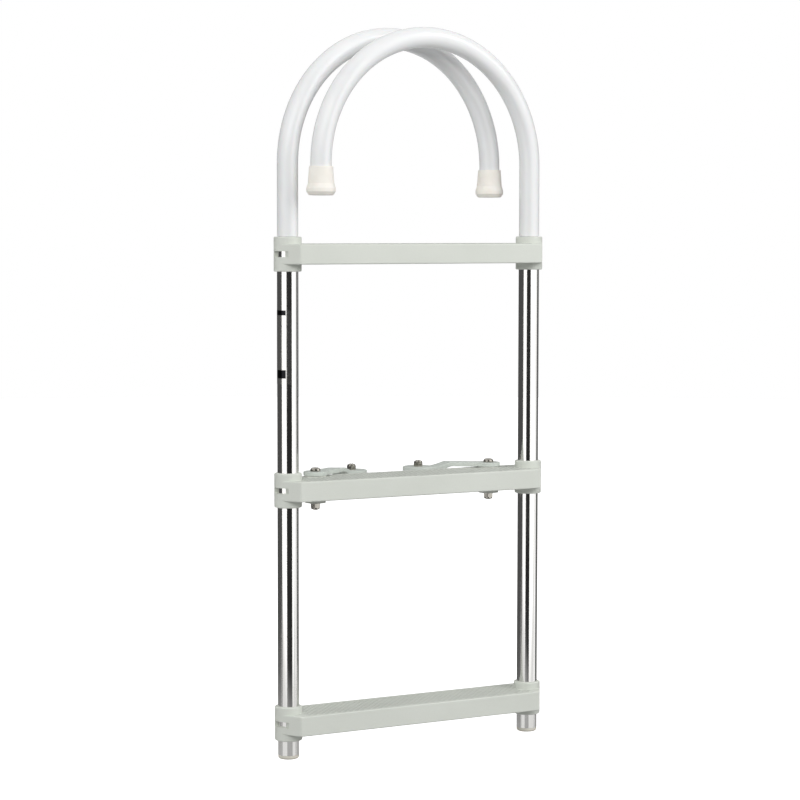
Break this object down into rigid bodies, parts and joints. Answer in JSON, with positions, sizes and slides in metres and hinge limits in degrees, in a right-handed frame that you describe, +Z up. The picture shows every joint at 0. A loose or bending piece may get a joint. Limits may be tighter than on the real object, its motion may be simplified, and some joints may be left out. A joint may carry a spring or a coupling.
{
  "type": "boarding ladder",
  "caption": "Hook-on boat boarding ladder: moulded steps on tubular rails, coated hooks that swivel in the rail tops, and folding stand-off arms.",
  "frame": {"origin": "the gunwale seat, midway between the two rail axes and level with the underside of the hooks' bends", "axes": "+X along the steps to the right rail, +Y towards the boat, +Z up along the rails"},
  "size_m": [0.367, 0.1307, 0.8735],
  "materials": {
    "rail_aluminium": "bright anodised",
    "step_plastic": "fine moulded texture",
    "arm_plastic": "smooth moulded",
    "plug_plastic": "smooth moulded",
    "hook_steel": "mill",
    "white_vinyl": "glossy dip coat",
    "tip_rubber": "smooth",
    "bumper_rubber": "smooth",
    "nylon": "smooth",
    "stainless_steel": "polished stainless steel",
    "label": "plain sticker"
  },
  "bodies": {
    "frame": {"left_rail": "rail_aluminium", "right_rail": "rail_aluminium", "top_step": "step_plastic", "middle_step": "step_plastic", "bottom_step": "step_plastic", "left_foot_plug": "plug_plastic", "right_foot_plug": "plug_plastic", "left_rail_label": "label", "hook_retaining_screws": "stainless_steel", "step_lock_screws": "stainless_steel", "left_pivot_spacer": "nylon", "right_pivot_spacer": "nylon", "left_pivot_bolt": "stainless_steel", "right_pivot_bolt": "stainless_steel", "left_pivot_washer": "stainless_steel", "right_pivot_washer": "stainless_steel", "left_pivot_nut": "stainless_steel", "right_pivot_nut": "stainless_steel"},
    "left_hook": {"left_hook_tube": "hook_steel", "left_hook_sleeve": "white_vinyl", "left_hook_tip": "tip_rubber"},
    "left_standoff": {"left_standoff_arm": "arm_plastic", "left_bumper": "bumper_rubber", "left_bumper_washer": "stainless_steel", "left_bumper_bolt": "stainless_steel", "left_bumper_nut": "stainless_steel"},
    "right_hook": {"right_hook_tube": "hook_steel", "right_hook_sleeve": "white_vinyl", "right_hook_tip": "tip_rubber"},
    "right_standoff": {"right_standoff_arm": "arm_plastic", "right_bumper": "bumper_rubber", "right_bumper_washer": "stainless_steel", "right_bumper_bolt": "stainless_steel", "right_bumper_nut": "stainless_steel"}
  },
  "joints": [
    {"name": "left_hook_swivel", "type": "hinge", "parent": "frame", "child": "left_hook", "pos_m": [-0.167, 0, -0.2262], "axis": [0, 0, 1], "range_deg": [0, 82]},
    {"name": "right_hook_swivel", "type": "hinge", "parent": "frame", "child": "right_hook", "pos_m": [0.167, 0, -0.2262], "axis": [0, 0, 1], "range_deg": [0, 265]},
    {"name": "left_standoff_swing", "type": "hinge", "parent": "frame", "child": "left_standoff", "pos_m": [-0.121, 0.0195, -0.5127], "axis": [0, 0, 1], "range_deg": [0, 57]},
    {"name": "right_standoff_swing", "type": "hinge", "parent": "frame", "child": "right_standoff", "pos_m": [0.121, 0.0195, -0.5127], "axis": [0, 0, -1], "range_deg": [0, 57]}
  ]
}
